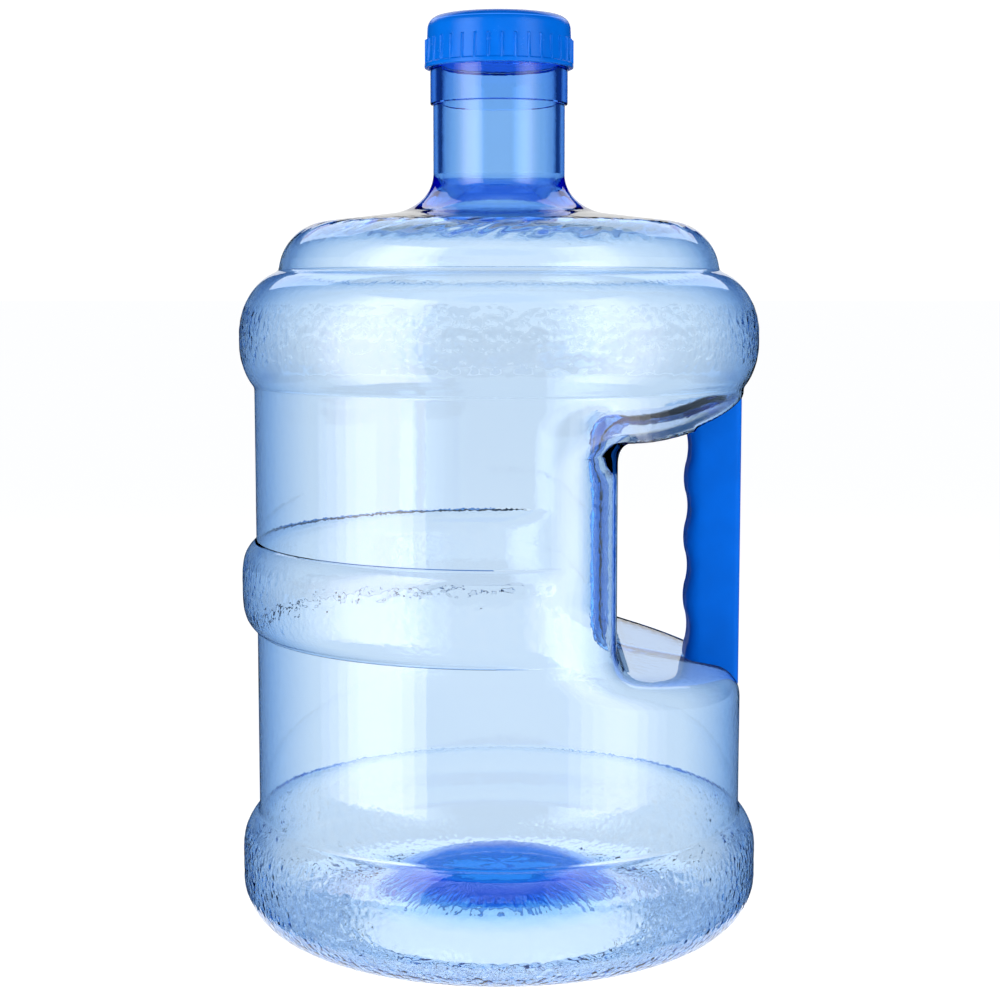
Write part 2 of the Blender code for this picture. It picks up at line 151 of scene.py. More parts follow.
def ramp(x, low, high):
    """Smooth step from 0 below low to 1 above high."""
    t = np.clip((x - low) / (high - low), 0.0, 1.0)
    return t * t * (3.0 - 2.0 * t)


def band(x, low, high, edge):
    return ramp(x, low, low + edge) * (1.0 - ramp(x, high - edge, high))


def blended_minimum(a, b, width):
    overlap = np.maximum(width - np.abs(a - b), 0.0) / width
    return np.minimum(a, b) - overlap * overlap * width / 4.0


def scatter(i, j, seed):
    """Repeatable numbers from 0 to 1 for whole-number cells."""
    mask = np.uint64(0xFFFFFFFF)
    n = i.astype(np.uint64) * np.uint64(374761393) + j.astype(np.uint64) * np.uint64(668265263)
    n = (n + np.uint64(seed * 1442695041)) & mask
    n = ((n ^ (n >> np.uint64(13))) * np.uint64(1274126177)) & mask
    return ((n ^ (n >> np.uint64(16))) & np.uint64(0xFFFF)).astype(float) / 65535.0


def soft_noise(turn, level, around, seed):
    """Smooth noise from -1 to 1. turn goes 0 to 1 round the jug, which holds a whole number of cells."""
    u = turn * around
    iu = np.floor(u).astype(int)
    iv = np.floor(level).astype(int) + 4096
    fu = u - np.floor(u)
    fv = level - np.floor(level)
    su = fu * fu * (3.0 - 2.0 * fu)
    sv = fv * fv * (3.0 - 2.0 * fv)
    total = 0.0
    for du, wu in ((0, 1.0 - su), (1, su)):
        for dv, wv in ((0, 1.0 - sv), (1, sv)):
            total = total + wu * wv * scatter((iu + du) % around, iv + dv, seed)
    return total * 2.0 - 1.0


def pebbles(turn, level, around, seed):
    """Rounded bumps that meet in sharp furrows: 1 on a bump's top and about 0 in a furrow."""
    u = turn * around
    iu = np.floor(u).astype(int)
    iv = np.floor(level).astype(int) + 4096
    fu = u - np.floor(u)
    fv = level - np.floor(level)
    nearest = np.full(np.broadcast(u, level).shape, 9.0)
    for du in (-1, 0, 1):
        for dv in (-1, 0, 1):
            cell_u = (iu + du) % around
            cell_v = iv + dv
            x = du + 0.15 + 0.7 * scatter(cell_u, cell_v, seed) - fu
            y = dv + 0.15 + 0.7 * scatter(cell_u, cell_v, seed + 7) - fv
            nearest = np.minimum(nearest, x * x + y * y)
    return 1.0 - np.clip(nearest / 0.5, 0.0, 1.0)


# ---------------------------------------------------------------- mesh making

def ellipse(centre, size, start, end, steps):
    angle = np.linspace(start, end, steps + 1)
    return np.stack([centre[0] + size[0] * np.cos(angle), centre[1] + size[1] * np.sin(angle)], 1)


def straight(start, end, steps):
    share = np.linspace(0.0, 1.0, steps + 1)[:, None]
    return np.array(start) * (1.0 - share) + np.array(end) * share


def chain(stretches):
    """Stretches of an outline, end to end, without their shared points."""
    points = [stretches[0]]
    for stretch in stretches[1:]:
        gap = np.linalg.norm(stretch[0] - points[-1][-1])
        points.append(stretch[1:] if gap < 0.01 * MM else stretch)
    return np.concatenate(points)


def grid_quads(first, rows, columns):
    """Faces between neighbouring rows of a grid that closes on itself."""
    i = np.arange(rows - 1)[:, None] * columns
    j = np.arange(columns)[None, :]
    k = (j + 1) % columns
    return (np.stack([i + j, i + k, i + columns + k, i + columns + j], -1) + first).reshape(-1, 4)


def closed_skin(name, rows, sharp=32.0):
    """A closed solid from one grid of rows, whose first and last rows are drawn in to a pole each."""
    count, columns = rows.shape[:2]
    points = rows.reshape(-1, 3)
    poles = np.array([rows[0].mean(0), rows[-1].mean(0)])
    quads = grid_quads(0, count, columns)
    j = np.arange(columns)
    k = (j + 1) % columns
    start_pole = np.full(columns, count * columns)
    last = (count - 1) * columns
    starts = np.stack([start_pole, k, j], 1)
    ends = np.stack([start_pole + 1, last + j, last + k], 1)
    mesh = bpy.data.meshes.new(name)
    faces = quads.tolist() + starts.tolist() + ends.tolist()
    mesh.from_pydata(np.concatenate([points, poles]).tolist(), [], faces)
    mesh.shade_smooth()
    mesh.set_sharp_from_angle(angle=math.radians(sharp))
    piece = bpy.data.objects.new(name, mesh)
    bpy.context.scene.collection.objects.link(piece)
    return piece


def turned(outline, angles):
    """Rows of points round the axis from an outline of (radius, height)."""
    radius = outline[:, 0][:, None]
    height = np.broadcast_to(outline[:, 1][:, None], (len(outline), len(angles)))
    return np.stack([radius * np.cos(angles), radius * np.sin(angles), height], -1)


def dress(piece, body, node, material):
    piece.data.materials.append(material)
    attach(piece, body)
    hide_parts(node)


# ---------------------------------------------------------------- bottle shape

def blown_outline():
    """(radius, height) from the middle of the base, round the outside, to the foot of the neck."""
    share = np.linspace(0.012, 1.0, 1200)
    punt = np.stack([PUNT_RADIUS * share, PUNT_HEIGHT * (1.0 - share ** PUNT_POWER)], 1)
    contact = BAND_RADIUS - BASE_ROUNDING
    stretches = [punt, straight((PUNT_RADIUS, 0.0), (contact, 0.0), 200)]
    stretches.append(ellipse((contact, BASE_ROUNDING), (BASE_ROUNDING,) * 2, -math.pi / 2.0, 0.0, 400))
    band_centre = (BAND_RADIUS - BAND_SHOULDER, BAND_TOP)
    stretches.append(straight((BAND_RADIUS, BASE_ROUNDING), (BAND_RADIUS, BAND_TOP), 200))
    stretches.append(ellipse(band_centre, (BAND_SHOULDER,) * 2, 0.0, BAND_SHOULDER_ANGLE, 300))
    stretches.append(straight((BODY_RADIUS, float(stretches[-1][-1][1])), (BODY_RADIUS, BULGE_BOTTOM), 3000))
    low_start = math.asin((BULGE_BOTTOM + 0.6 * MM - BULGE_LOW) / BULGE_SIZE[1])
    stretches.append(ellipse((BULGE_CENTRE_RADIUS, BULGE_LOW), BULGE_SIZE, low_start, 0.0, 400))
    stretches.append(ellipse((BULGE_CENTRE_RADIUS, BULGE_HIGH), BULGE_SIZE, 0.0, math.radians(74.5), 500))
    stretches.append(ellipse(SHOULDER_CENTRE, SHOULDER_SIZE, math.radians(4.0), math.radians(82.4), 500))
    flare = ellipse(FLARE_CENTRE, FLARE_SIZE, math.radians(260.6), math.pi, 500)
    stretches.append(straight(stretches[-1][-1], flare[0], 400))
    stretches.append(flare)
    return respaced(chain(stretches))


def respaced(outline):
    """The same outline with rows close together at creases, the pocket's ends and moulded texture."""
    radius = outline[:, 0]
    height = outline[:, 1]
    spacing = np.full(len(outline), WIDE_ROWS)
    on_texture = (radius > 60.0 * MM) & (height < 50.0 * MM)
    on_texture |= (height > 236.0 * MM) & (height < 266.0 * MM)
    on_texture |= (height > 130.0 * MM) & (height < 163.0 * MM)
    on_texture |= (height > 292.0 * MM) & (radius > 60.0 * MM)
    spacing[on_texture] = TEXTURE_ROWS
    for low, high in POCKET_ENDS:
        spacing[(height > low) & (height < high)] = POCKET_ROWS
    spacing[(height > CEILING_FLAT[0]) & (height < CEILING_FLAT[1])] = CEILING_ROWS
    for at_radius, at_height in creases():
        spacing[np.hypot(radius - at_radius, height - at_height) < CREASE_REACH] = CREASE_ROWS
    stride = np.linalg.norm(np.diff(outline, axis=0), axis=1)
    rows = np.concatenate([[0.0], np.cumsum(stride * 2.0 / (spacing[1:] + spacing[:-1]))])
    even = np.linspace(0.0, rows[-1], int(math.ceil(rows[-1])) + 1)
    return np.stack([np.interp(even, rows, radius), np.interp(even, rows, height)], 1)


def creases():
    """(radius, height) of the valleys and edges that moulding rounds off."""
    band_crease = BAND_TOP + BAND_SHOULDER * math.sin(BAND_SHOULDER_ANGLE)
    shoulder_foot = SHOULDER_CENTRE[1] + SHOULDER_SIZE[1] * math.sin(math.radians(4.0))
    flare_foot = FLARE_CENTRE[0] + FLARE_SIZE[0] * math.cos(math.radians(260.6))
    places = [(PUNT_RADIUS, 0.0), (BODY_RADIUS, band_crease), (BODY_RADIUS, RING_BOTTOM), (BODY_RADIUS, RING_TOP)]
    places += [(BODY_RADIUS, BULGE_BOTTOM), (SHOULDER_CENTRE[0] + SHOULDER_SIZE[0], shoulder_foot)]
    return places + [(flare_foot, FLARE_CENTRE[1] - FLARE_SIZE[1])]


def neck_outline():
    """(radius, height) from the foot of the neck to the mouth's outer edge."""
    stretches = [straight((NECK_RADIUS, FLARE_CENTRE[1]), (NECK_RADIUS, COLLAR_BOTTOM), 24)]
    ledge = (NECK_RADIUS, COLLAR_BOTTOM + 0.2 * MM), (COLLAR_RADIUS - 0.25 * MM, COLLAR_BOTTOM + 0.3 * MM)
    stretches.append(straight(*ledge, 3))
    stretches.append(straight((COLLAR_RADIUS, COLLAR_BOTTOM + 0.7 * MM), (COLLAR_RADIUS, COLLAR_TOP), 12))
    stretches.append(straight((COLLAR_RADIUS - 0.3 * MM, COLLAR_TOP + 0.3 * MM),
                              (THREAD_ROOT, COLLAR_TOP + 0.5 * MM), 2))
    stretches.append(straight((THREAD_ROOT, COLLAR_TOP + 0.8 * MM), (THREAD_ROOT, MOUTH_TOP - 0.8 * MM), 46))
    rim_centre = (THREAD_ROOT - 0.7 * MM, MOUTH_TOP - 0.7 * MM)
    stretches.append(ellipse(rim_centre, (0.7 * MM, 0.7 * MM), 0.0, math.pi / 2.0, 4))
    return chain(stretches)


def eased(rows, height):
    """Rounds the creases: each row moves part way to its neighbours' middle, many times over."""
    share = np.zeros(height.shape)
    away_from_pocket = rows[:, rows.shape[1] // 2]
    stride = np.linalg.norm(np.diff(away_from_pocket, axis=0), axis=1)
    near = np.concatenate([[False], (stride[1:] < EASED_ROWS) & (stride[:-1] < EASED_ROWS), [False]])
    share[near & (height < FLARE_CENTRE[1] - 2.0 * MM)] = 0.5
    share[(height > CEILING_FLAT[0]) & (height < CEILING_FLAT[1])] = 0.0
    share = share[:, None, None]
    for step in range(EASING_PASSES):
        if step == BAND_EASING_PASSES:
            share = share * (height > RING_BOTTOM - CREASE_REACH)[:, None, None]
        middle = rows.copy()
        middle[1:-1] = (rows[2:] + rows[:-2]) / 2.0
        rows = rows + (middle - rows) * share
    return rows


def ceiling(x):
    reach = np.maximum(x - POCKET_PLANE, 0.0) / (BODY_RADIUS - POCKET_PLANE)
    return CEILING_HEIGHT + CEILING_RISE * reach ** CEILING_POWER


def floor_level(x, radius):
    reach = np.clip(radius - (BODY_RADIUS - FLOOR_ROUNDING), 0.0, FLOOR_ROUNDING)
    drop = FLOOR_ROUNDING - np.sqrt(FLOOR_ROUNDING ** 2 - reach ** 2)
    return FLOOR_HEIGHT - FLOOR_SLOPE * (x - POCKET_PLANE) - drop


def corner_centre():
    x = POCKET_PLANE - POCKET_CORNER
    return x, math.sqrt((BODY_RADIUS - POCKET_CORNER) ** 2 - x * x)


def depth_in_pocket(angle, radius, height):
    """Positive inside the hand pocket, negative in the bottle."""
    x = radius * np.cos(angle)
    y = np.abs(radius * np.sin(angle))
    centre_x, centre_y = corner_centre()
    corner = np.hypot(x - centre_x, y - centre_y) - POCKET_CORNER
    wall = np.where(y < centre_y, x - POCKET_PLANE, corner)
    depth = blended_minimum(wall, ceiling(x) - height, POCKET_BLEND)
    return blended_minimum(depth, height - floor_level(x, radius), POCKET_BLEND)


def cut_radii(angles, radius, height, where):
    """Radius of the outside with the hand pocket cut in, at the points where that is asked for."""
    angle, outer, level = (np.broadcast_to(part, where.shape)[where] for part in (angles, radius, height))
    start = outer.copy()
    inner = np.full(outer.shape, POCKET_PLANE / 2.0)
    cut = depth_in_pocket(angle, outer, level) > 0.0
    for _ in range(22):
        middle = (inner + outer) / 2.0
        deep = depth_in_pocket(angle, middle, level) > 0.0
        outer = np.where(deep, middle, outer)
        inner = np.where(deep, inner, middle)
    result = radius.copy()
    result[where] = np.where(cut, outer, start)
    return result


def bottle_radii(outline, angles):
    """Radius at each height and angle: the turned outline with the ring and the hand pocket."""
    height = outline[:, 1][:, None]
    fade = ramp(np.abs(angles), RING_FADE_START, RING_FADE_END)[None, :]
    place = (height - (RING_BOTTOM + RING_TOP) / 2.0) / ((RING_TOP - RING_BOTTOM) / 2.0)
    swell = (1.0 - np.clip(np.abs(place), 0.0, 1.0) ** 3.5) ** 0.8
    on_wall = (height > RING_BOTTOM) & (height < RING_TOP)
    ring = np.where(on_wall, RING_DEPTH * swell * fade, 0.0)
    radius = np.broadcast_to(outline[:, 0][:, None], (len(outline), len(angles)))
    centre_x, centre_y = corner_centre()
    in_reach = (np.abs(angles)[None, :] < math.atan2(centre_y, centre_x))
    in_reach = in_reach & (height > FLOOR_HEIGHT - 3.0 * FLOOR_ROUNDING) & (height < BULGE_BOTTOM)
    cut = cut_radii(angles[None, :], radius, height, in_reach)
    return softened(cut, outline[:, 1], radius) + ring


def softened(radii, height, full):
    """Rounds the ceiling's edge where the pocket is shallow, at its sides."""
    level = np.arange(SOFT_HEIGHTS[0], SOFT_HEIGHTS[1], SOFT_STEP)
    window = 1.0 + np.cos(math.pi * np.arange(-SOFT_REACH, SOFT_REACH + 1) / (SOFT_REACH + 1))
    window = window / window.sum()
    near = (height > SOFT_HEIGHTS[0]) & (height < SOFT_HEIGHTS[1])
    middle = np.argmin(np.abs(height - SOFT_HEIGHTS[0]))
    share = 1.0 - ramp(full[middle] - radii[middle], SOFT_UP_TO, HARD_FROM)
    result = radii.copy()
    fade = band(height, SOFT_HEIGHTS[0], SOFT_HEIGHTS[1], 4.0 * MM)
    for column in np.flatnonzero((share > 0.0) & (radii[middle] < full[middle])):
        even = np.interp(level, height[near], radii[near, column])
        padded = np.pad(even, SOFT_REACH, mode="edge")
        smooth = np.interp(height, level, np.convolve(padded, window, mode="valid"))
        result[:, column] += (smooth - radii[:, column]) * fade * share[column]
    return result


def surface_normals(rows):
    along = np.gradient(rows, axis=0)
    round_about = np.roll(rows, -1, axis=1) - np.roll(rows, 1, axis=1)
    normal = np.cross(round_about, along)
    return normal / np.linalg.norm(normal, axis=-1, keepdims=True)


def wall_thickness(radius, height):
    base = 1.0 - ramp(radius, BASE_WALL_INNER, BASE_WALL_REACH)
    thick = WALL + (BASE_WALL - WALL) * base * (height < PUNT_HEIGHT + WALL)
    flare = 1.0 - ramp(radius, FLARE_INNER, FLARE_REACH)
    return thick + (FLARE_WALL - WALL) * flare * (height > SHOULDER_CENTRE[1])


def weld_bead(rows, cut_in, normals):
    """Extra thickness of the weld where the two walls of the pocket meet, on the plane y = 0."""
    across = np.clip(np.abs(rows[..., 1]) / BEAD_HALF_WIDTH, 0.0, 1.0)
    upright_share = np.abs(normals[..., 0])
    to_corner = np.hypot(rows[..., 0] - POCKET_PLANE, rows[..., 2] - CEILING_HEIGHT) / BEAD_KNOT_REACH
    depth = BEAD_THIN + (BEAD_DEPTH - BEAD_THIN) * upright_share + BEAD_KNOT * np.exp(-to_corner ** 2)
    inward = ramp(cut_in, 0.2 * MM, 12.0 * MM) * (rows[..., 0] > 0.0)
    return depth * np.sqrt(1.0 - across * across) * inward


def thread_ridge(turn, height, bottom, crest_half, root_half):
    """1 on the crest of a helical ridge and 0 between ridges."""
    ridge = np.zeros(np.broadcast(turn, height).shape)
    for start in range(THREAD_STARTS):
        for lap in range(-1, 3):
            run = turn - start / THREAD_STARTS + lap
            ends = band(run, 0.0, THREAD_TURNS, 0.06)
            middle = bottom + THREAD_LEAD * run
            side = (root_half - np.abs(height - middle)) / (root_half - crest_half)
            ridge = np.maximum(ridge, np.clip(side, 0.0, 1.0) * ends)
    return ridge


def bottle_relief(turn, outline):
    """Height of the moulded texture on the outside, in metres."""
    radius = outline[:, 0][:, None]
    height = outline[:, 1][:, None]
    run = np.concatenate([[0.0], np.cumsum(np.linalg.norm(np.diff(outline, axis=0), axis=1))])[:, None]
    stones = pebbles(turn, run / (4.6 * MM), 170, 3) - 0.5
    grain = pebbles(turn, run / (2.8 * MM), 150, 11) - 0.5
    patch = 0.75 + 0.25 * soft_noise(turn, run / (22.0 * MM), 24, 5)
    outside = (radius > 90.0 * MM).astype(float)
    bulge = band(height, 236.5 * MM, 265.0 * MM, 5.0 * MM) * outside * 0.20
    ring = band(height, 131.0 * MM, 161.5 * MM, 4.0 * MM) * outside * 0.16
    beside = ramp(np.abs(np.cos(TAU * turn)), 0.35, 0.6)
    base_side = band(height, 1.0 * MM, 45.0 * MM, 5.0 * MM) * outside * (0.06 + 0.26 * beside)
    low = (height < 30.0 * MM).astype(float)
    base_ring = band(radius, 63.0 * MM, 92.0 * MM, 5.0 * MM) * low * (height < 9.0 * MM) * 0.26
    punt_edge = band(radius, 30.0 * MM, 58.0 * MM, 7.0 * MM) * low * 0.13
    relief = stones * (bulge + ring + np.maximum(base_side, base_ring)) * patch
    relief = relief + grain * punt_edge
    upper = (height > 290.0 * MM).astype(float)
    strokes = soft_noise((turn + radius * 2.6) % 1.0, run / (3.0 * MM), 150, 17)
    relief = relief + strokes * band(radius, 62.0 * MM, 90.0 * MM, 6.0 * MM) * upper * 0.10
    sway = soft_noise(turn, run / (34.0 * MM), 12, 23) * 0.05 + soft_noise(turn, run / (15.0 * MM), 26, 29) * 0.015
    blown = (height < FLARE_CENTRE[1]).astype(float)
    return (relief + sway * blown) * MM


def inside_of(rows, cut_in):
    """The inside: the outside moved in by the wall's thickness, and a straight bore in the neck."""
    radius = np.hypot(rows[..., 0], rows[..., 1])
    height = rows[..., 2]
    normals = surface_normals(rows)
    thickness = wall_thickness(radius, height) + weld_bead(rows, cut_in, normals)
    roof = ramp(cut_in, 2.0 * MM, 14.0 * MM) * ramp(height, CEILING_FLAT[0] - 8.0 * MM, CEILING_FLAT[0])
    thickness = thickness + CEILING_EXTRA * roof * (height < BULGE_BOTTOM)
    inner = rows - normals * thickness[..., None]
    reach = np.hypot(inner[..., 0], inner[..., 1])
    in_neck = height > FLARE_CENTRE[1] - 0.1 * MM
    near_neck = (height > SHOULDER_CENTRE[1]) & (reach < BORE_RADIUS)
    scale = np.where(in_neck, BORE_RADIUS / radius, 1.0)
    bore = rows * np.stack([scale, scale, np.ones_like(scale)], -1)
    widened = inner * np.stack([BORE_RADIUS / reach, BORE_RADIUS / reach, np.ones_like(reach)], -1)
    inner = np.where(near_neck[..., None], widened, inner)
    return np.where(in_neck[..., None], bore, inner)


def make_bottle(material):
    outline = np.concatenate([blown_outline(), neck_outline()[1:]])
    angles = TAU * np.arange(COLUMNS) / COLUMNS
    signed = (angles + math.pi) % TAU - math.pi
    turn = (angles / TAU)[None, :]
    radii = bottle_radii(outline, signed)
    smooth = np.stack([radii * np.cos(angles), radii * np.sin(angles),
                       np.broadcast_to(outline[:, 1][:, None], radii.shape)], -1)
    smooth = eased(smooth, outline[:, 1])
    relief = bottle_relief(turn, outline)
    in_pocket = outline[:, 0][:, None] - radii > 0.5 * MM
    relief = np.where(in_pocket, 0.0, relief)
    height = outline[:, 1][:, None]
    ridge = thread_ridge(turn, height, NECK_THREAD_BOTTOM, 0.4 * MM, 0.75 * MM)
    relief = relief + ridge * NECK_THREAD_DEPTH * (height > COLLAR_TOP + 0.7 * MM) * (height < MOUTH_TOP - 0.7 * MM)
    outside = smooth + surface_normals(smooth) * relief[..., None]
    outside[..., 2] = np.maximum(outside[..., 2], 0.0)
    keep = np.unique(np.concatenate([np.arange(0, len(outline), 2), [len(outline) - 1]]))
    inside = inside_of(smooth, outline[:, 0][:, None] - radii)[keep][::-1]
    inside[0, :, 2] = MOUTH_TOP
    bottle = closed_skin("bottle_shell", np.concatenate([outside, inside]))
    dress(bottle, "jug", "bottle_body", material)
    return bottle


# ---------------------------------------------------------------- handle

GRIP_INNER = 79.8 * MM
GRIP_INNER_CORNER = 5.0 * MM
GRIP_OUTER_CORNER = 2.4 * MM
FINGER_PITCH = 23.0 * MM
FINGER_DEPTH = 0.9 * MM
FINGER_CREST = 142.0 * MM
GRIP_LEVELS = 220
FIT_GAP = 0.4 * MM


def grip_section(height):
    """Plan view of the grip at a height, as a loop that starts in the middle of the finger side."""
    wave = math.cos(TAU * (height - FINGER_CREST) / FINGER_PITCH)
    peaked = math.copysign(abs(wave) ** 0.8, wave)
    inner = GRIP_INNER - FINGER_DEPTH * peaked
    width = GRIP_HALF_WIDTH
    corner = GRIP_INNER_CORNER + 0.7 * MM * peaked
    edge = math.sqrt(GRIP_OUTER ** 2 - width ** 2)
    half = [straight((inner, 0.0), (inner, width - corner), 6)]
    half.append(ellipse((inner + corner, width - corner), (corner, corner), math.pi, math.pi / 2.0, 10))
    outer_start = (edge - GRIP_OUTER_CORNER, width)
    half.append(straight(half[-1][-1], outer_start, 10))
    half.append(ellipse((outer_start[0], width - GRIP_OUTER_CORNER), (GRIP_OUTER_CORNER,) * 2,
                        math.pi / 2.0, math.radians(8.0), 7))
    y = np.linspace(half[-1][-1][1], 0.0, 7)[1:]
    half.append(np.stack([np.sqrt(GRIP_OUTER ** 2 - y * y), y], 1))
    loop = chain(half)
    return np.concatenate([loop, (loop * [1.0, -1.0])[-2:0:-1]])


def make_handle(material):
    rows = []
    for level in range(GRIP_LEVELS + 1):
        share = level / GRIP_LEVELS
        loop = grip_section(FLOOR_HEIGHT + (CEILING_HEIGHT - FLOOR_HEIGHT) * share)
        low = floor_level(loop[:, 0], np.hypot(loop[:, 0], loop[:, 1])) + FIT_GAP
        high = ceiling(loop[:, 0]) - FIT_GAP
        rows.append(np.stack([loop[:, 0], loop[:, 1], low + (high - low) * share], 1))
    ends = []
    for end in (0, -1):
        caps = []
        for shrink in (0.97, 0.85, 0.7, 0.5, 0.3, 0.1):
            loop = rows[end][:, :2]
            middle = loop.mean(0)
            inset = middle + (loop - middle) * shrink
            if end == 0:
                z = floor_level(inset[:, 0], np.hypot(inset[:, 0], inset[:, 1])) + FIT_GAP
            else:
                z = ceiling(inset[:, 0]) - FIT_GAP
            caps.append(np.column_stack([inset, z]))
        ends.append(caps)
    rows = ends[0][::-1] + rows + ends[1]
    handle = closed_skin("handle_grip", np.array(rows), sharp=40.0)
    dress(handle, "jug", "carry_handle", material)
    return handle


# ---------------------------------------------------------------- cap and liner

RIB_COUNT = 34
RIB_COLUMNS = 20
RIB_DEPTH = 0.5 * MM
CAP_RADIUS = 30.3 * MM
CAP_BORE = 28.75 * MM
CAP_LIP_BORE = 29.2 * MM
CAP_CEILING = 378.9 * MM
CAP_CORNER = 5.2 * MM
CAP_LIP_HEIGHT = 1.7 * MM
RIB_TOP = CAP_BOTTOM + 11.6 * MM


def paint_skirt_glow(material):
    """Paints a glow on the inside of the skirt: emission that stands in for light coming through the cap."""
    nodes = material.node_tree.nodes
    links = material.node_tree.links
    place = nodes.new("ShaderNodeTexCoord")
    split = nodes.new("ShaderNodeSeparateXYZ")
    links.new(place.outputs["Object"], split.inputs["Vector"])
    flat = nodes.new("ShaderNodeVectorMath")
    flat.operation = "MULTIPLY"
    flat.inputs[1].default_value = (1.0, 1.0, 0.0)
    links.new(place.outputs["Object"], flat.inputs[0])
    reach = nodes.new("ShaderNodeVectorMath")
    reach.operation = "LENGTH"
    links.new(flat.outputs["Vector"], reach.inputs[0])
    inner = math_node(nodes, links, "SUBTRACT", 1.0, smooth_step(nodes, links, reach.outputs["Value"], 0.0288, 0.0290))
    low = math_node(nodes, links, "SUBTRACT", 1.0, smooth_step(nodes, links, split.outputs["Z"], 0.3790, 0.3792))
    shader = nodes["Principled BSDF"]
    # Painted glow: emission on the inside of the skirt, which is no lamp.
    shader.inputs["Emission Color"].default_value = (*PAINTED_SKIRT_GLOW_COLOUR, 1.0)
    glow = math_node(nodes, links, "MULTIPLY", inner, low)
    links.new(math_node(nodes, links, "MULTIPLY", glow, PAINTED_SKIRT_GLOW), shader.inputs["Emission Strength"])
    return material


# Colour and strength of the painted glow inside the cap's skirt.
PAINTED_SKIRT_GLOW_COLOUR = (0.08, 0.24, 0.62)
PAINTED_SKIRT_GLOW = 0.9


def make_cap(material):
    top_centre = (CAP_RADIUS - 0.6 * MM - CAP_CORNER, CAP_TOP - CAP_CORNER)
    stretches = [straight((0.3 * MM, CAP_TOP), (top_centre[0], CAP_TOP), 12)]
    stretches.append(ellipse(top_centre, (CAP_CORNER,) * 2, math.pi / 2.0, 0.0, 14))
    skirt_top = stretches[-1][-1]
    skirt_low = (CAP_RADIUS, CAP_BOTTOM + CAP_LIP_HEIGHT + 0.4 * MM)
    stretches.append(straight(skirt_top, skirt_low, 30))
    lip = CAP_LIP_RADIUS
    stretches.append(straight((lip - 0.1 * MM, CAP_BOTTOM + CAP_LIP_HEIGHT),
                              (lip, CAP_BOTTOM + CAP_LIP_HEIGHT - 0.2 * MM), 2))
    stretches.append(ellipse((lip - 0.4 * MM, CAP_BOTTOM + 0.4 * MM), (0.4 * MM,) * 2, 0.0, -math.pi / 2.0, 4))
    stretches.append(straight((CAP_LIP_BORE + 0.2 * MM, CAP_BOTTOM), (CAP_LIP_BORE, CAP_BOTTOM + 0.2 * MM), 2))
    stretches.append(straight((CAP_LIP_BORE, CAP_BOTTOM + 1.2 * MM), (CAP_BORE, CAP_BOTTOM + 1.6 * MM), 2))
    stretches.append(straight((CAP_BORE, CAP_BOTTOM + 1.7 * MM), (CAP_BORE, CAP_CEILING - 0.3 * MM), 50))
    stretches.append(straight((CAP_BORE - 0.3 * MM, CAP_CEILING), (0.3 * MM, CAP_CEILING), 8))
    outline = chain(stretches)
    count = RIB_COUNT * RIB_COLUMNS
    angles = TAU * np.arange(count) / count
    rows = turned(outline, angles)
    height = outline[:, 1][:, None]
    radius = outline[:, 0][:, None]
    front = -math.pi / 2.0 + math.radians(2.2)
    place = ((angles - front) / TAU * RIB_COUNT) % 1.0
    beside = np.minimum(place, 1.0 - place)[None, :]
    across = np.cos(np.clip(beside / 0.105, 0.0, 1.0) * math.pi / 2.0) ** 0.8
    outer = np.arange(len(outline))[:, None] < 60
    down = ramp(height, RIB_TOP + 0.15 * MM, RIB_TOP - 0.25 * MM) * (height > CAP_BOTTOM + CAP_LIP_HEIGHT - 0.05 * MM)
    reach = np.maximum(lip - radius, 0.0) * across * down * outer * (radius > 28.9 * MM)
    ridge = thread_ridge((angles / TAU)[None, :], height, NECK_THREAD_BOTTOM - CAP_THREAD_DROP, 0.4 * MM, 0.75 * MM)
    in_bore = (np.abs(radius - CAP_BORE) < 0.02 * MM) & (height < CAP_CEILING - 1.0 * MM)
    moved = radius + reach - ridge * CAP_THREAD_DEPTH * in_bore
    rows[..., 0] = moved * np.cos(angles)
    rows[..., 1] = moved * np.sin(angles)
    cap = closed_skin("cap_shell", rows)
    dress(cap, "cap", "screw_cap", material)
    return cap


def make_liner(material):
    edge = 0.35 * MM
    top = LINER_TOP
    low = LINER_BOTTOM
    stretches = [straight((0.3 * MM, low), (8.0 * MM, low), 6)]
    for ring in (9.0, 15.0, 21.0):
        stretches.append(ellipse((ring * MM, low), (0.8 * MM, 0.25 * MM), math.pi, 0.0, 8))
    stretches.append(straight((21.8 * MM, low), (LINER_RADIUS - edge, low), 6))
    stretches.append(ellipse((LINER_RADIUS - edge, low + edge), (edge, edge), -math.pi / 2.0, 0.0, 5))
    stretches.append(ellipse((LINER_RADIUS - edge, top - edge), (edge, edge), 0.0, math.pi / 2.0, 5))
    stretches.append(straight((LINER_RADIUS - edge, top), (0.3 * MM, top), 8))
    outline = chain(stretches)
    angles = TAU * np.arange(160) / 160
    liner = closed_skin("liner_disc", turned(outline, angles))
    dress(liner, "liner", "seal_liner", material)
    return liner


# ---------------------------------------------------------------- materials

def new_material(name):
    material = bpy.data.materials.new(name)
    material.use_nodes = True
    nodes = material.node_tree.nodes
    return material, nodes, material.node_tree.links, nodes["Principled BSDF"]


def noise_node(nodes, links, scale, detail, roughness=0.5):
    place = nodes.new("ShaderNodeTexCoord")
    noise = nodes.new("ShaderNodeTexNoise")
    noise.inputs["Scale"].default_value = scale
    noise.inputs["Detail"].default_value = detail
    noise.inputs["Roughness"].default_value = roughness
    links.new(place.outputs["Object"], noise.inputs["Vector"])
    return noise


def map_range(nodes, links, source, low, high, start=0.3, end=0.7):
    spread = nodes.new("ShaderNodeMapRange")
    spread.inputs["From Min"].default_value = start
    spread.inputs["From Max"].default_value = end
    spread.inputs["To Min"].default_value = low
    spread.inputs["To Max"].default_value = high
    links.new(source, spread.inputs["Value"])
    return spread.outputs["Result"]


